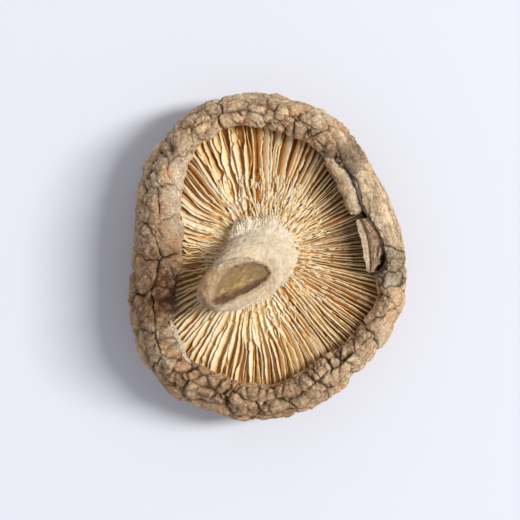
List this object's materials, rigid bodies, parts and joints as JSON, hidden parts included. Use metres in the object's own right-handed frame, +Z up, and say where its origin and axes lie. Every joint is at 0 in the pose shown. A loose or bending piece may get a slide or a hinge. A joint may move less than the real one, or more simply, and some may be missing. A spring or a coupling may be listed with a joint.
{
  "type": "dried shiitake mushroom",
  "caption": "Whole dried shiitake mushroom lying gills up: cobbled brown cap with a rolled, torn rim, cream radial gills and a short slanting cut stem.",
  "frame": {"origin": "middle of the flat spot on the crown of the cap that the mushroom rests on, on the surface below it", "axes": "+Z up, out of the gills along the stem; +Y along the longer way across the cap; +X across the shorter way, towards the torn side of the rim"},
  "size_m": [0.0442, 0.0516, 0.0213],
  "materials": {
    "cap_skin": "dry matt cobbled skin, tan on the bumps and dark brown in the creases",
    "gill_flesh": "dry matt cream blades, amber between them",
    "stem_felt": "matt felted cream fibres, with a brown shrunken cut face"
  },
  "bodies": {
    "root": {"cap": "cap_skin", "gills": "gill_flesh", "stem": "stem_felt"}
  },
  "joints": []
}
